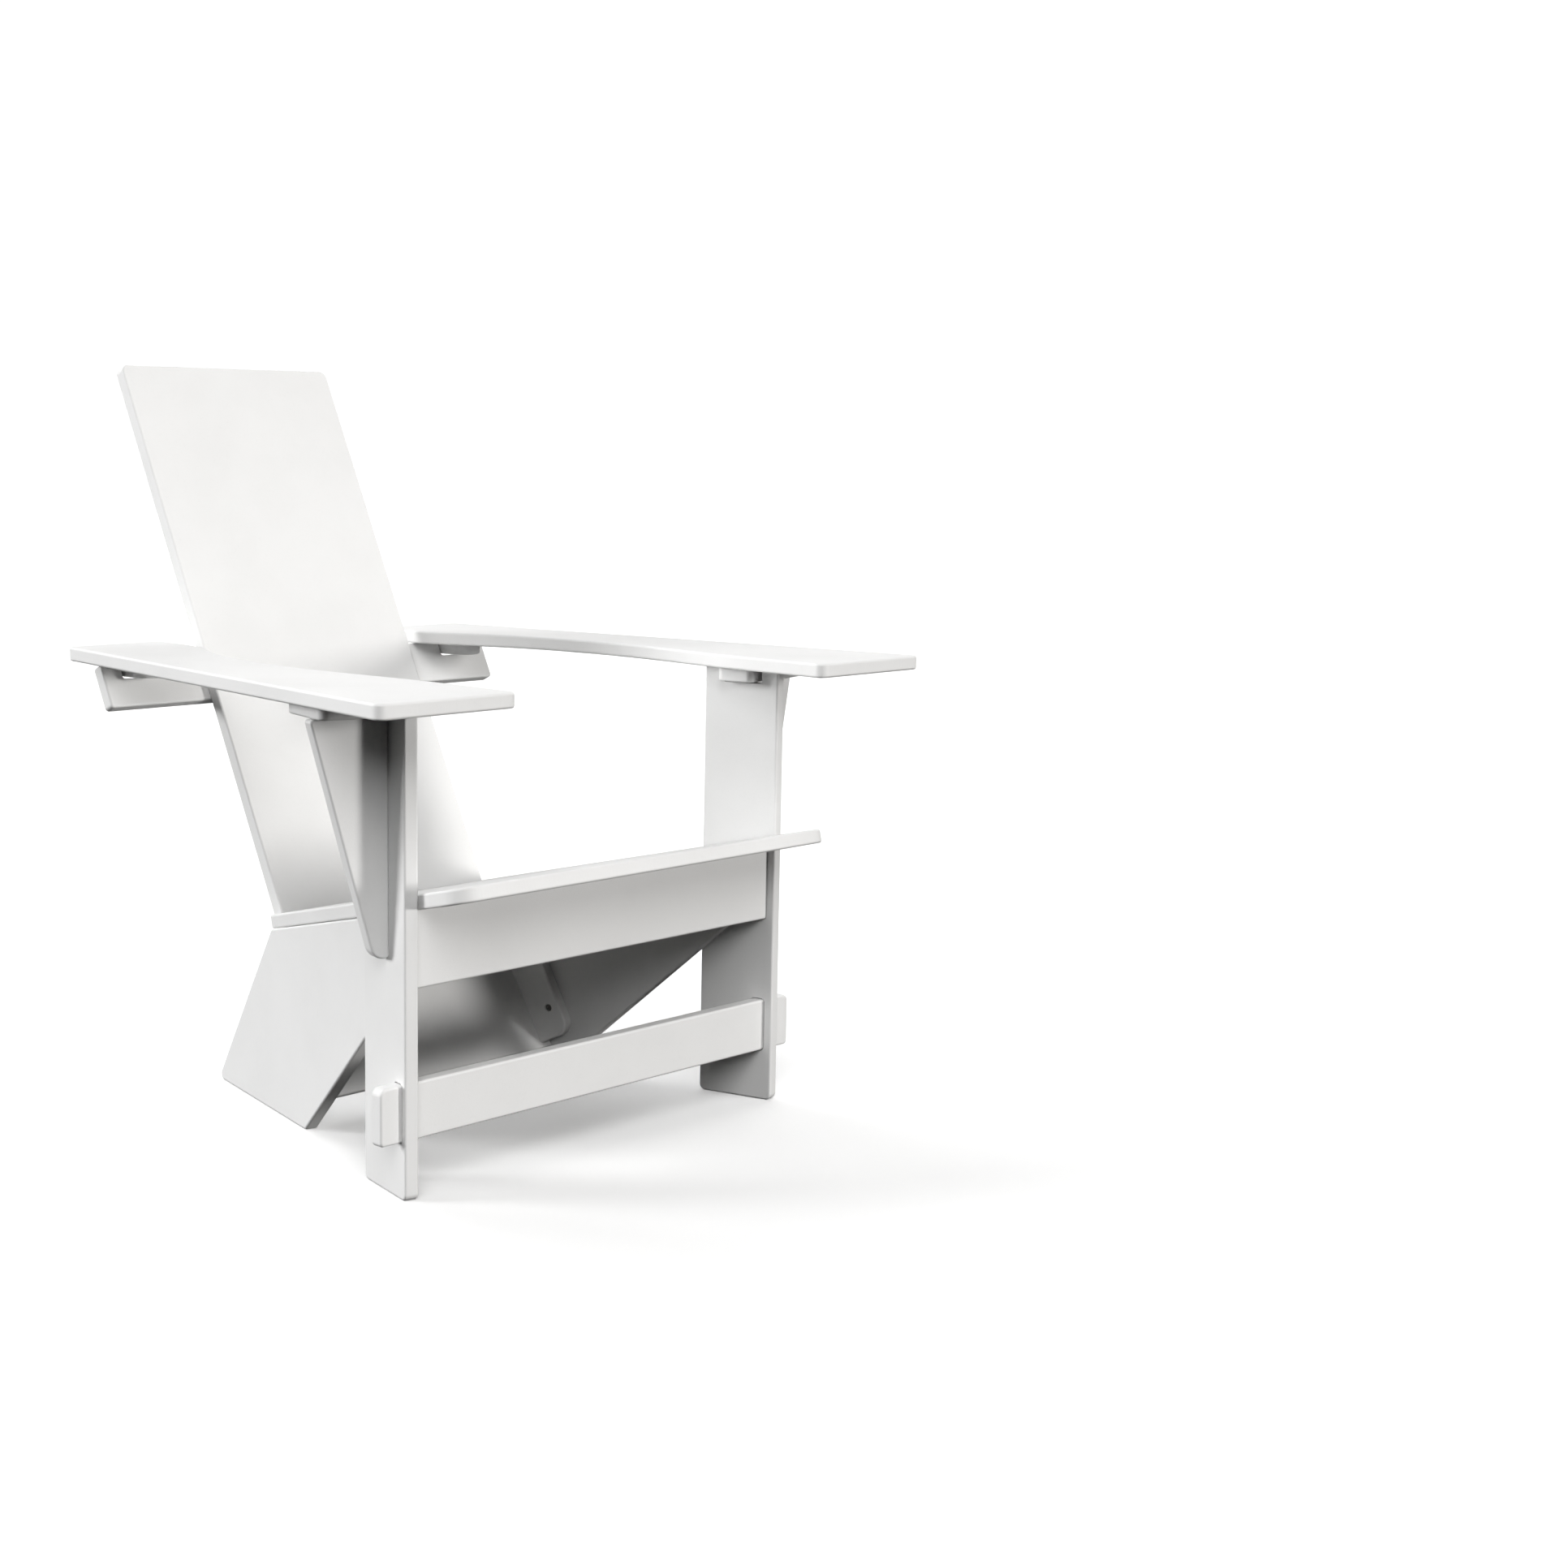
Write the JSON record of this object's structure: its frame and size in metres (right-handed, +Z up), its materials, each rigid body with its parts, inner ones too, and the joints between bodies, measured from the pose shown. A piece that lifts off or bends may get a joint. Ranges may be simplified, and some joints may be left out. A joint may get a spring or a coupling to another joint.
{
  "type": "adirondack chair",
  "caption": "Low lounge chair of flat sheet plastic with a plain reclined back, a sloping seat, wide level arms and through-tenoned joinery.",
  "frame": {"origin": "centre of the bottom of the chair's bounding box, on the floor between the feet", "axes": "+X to the right as seen by someone who stands in front of the chair and looks at it, +Y from the front to the rear, +Z up. In node names right is +X and left is -X."},
  "size_m": [0.9098, 0.9014, 0.9606],
  "materials": {
    "sheet_plastic": "matte",
    "screw_steel": "satin"
  },
  "bodies": {
    "root": {"front_rail": "sheet_plastic", "front_apron": "sheet_plastic", "seat_panel": "sheet_plastic", "back_panel": "sheet_plastic", "rear_brace": "sheet_plastic", "front_leg_left": "sheet_plastic", "front_leg_right": "sheet_plastic", "stringer_left": "sheet_plastic", "stringer_right": "sheet_plastic", "back_cleat_left": "sheet_plastic", "back_cleat_right": "sheet_plastic", "seat_cleat_left": "sheet_plastic", "seat_cleat_right": "sheet_plastic", "apron_cleat_left": "sheet_plastic", "apron_cleat_right": "sheet_plastic", "arm_left": "sheet_plastic", "arm_right": "sheet_plastic", "arm_bracket_left": "sheet_plastic", "arm_bracket_right": "sheet_plastic", "front_arm_plate_left": "sheet_plastic", "front_arm_plate_right": "sheet_plastic", "rear_arm_plate_left": "sheet_plastic", "rear_arm_plate_right": "sheet_plastic", "leg_screws": "screw_steel", "bracket_foot_screws": "screw_steel", "bracket_top_screws": "screw_steel", "front_arm_screws": "screw_steel", "rear_arm_screws": "screw_steel", "brace_screws": "screw_steel", "back_cleat_screws": "screw_steel", "back_panel_screws": "screw_steel", "seat_cleat_screws": "screw_steel", "seat_screws": "screw_steel", "apron_cleat_screws": "screw_steel", "apron_screws": "screw_steel"}
  },
  "joints": []
}
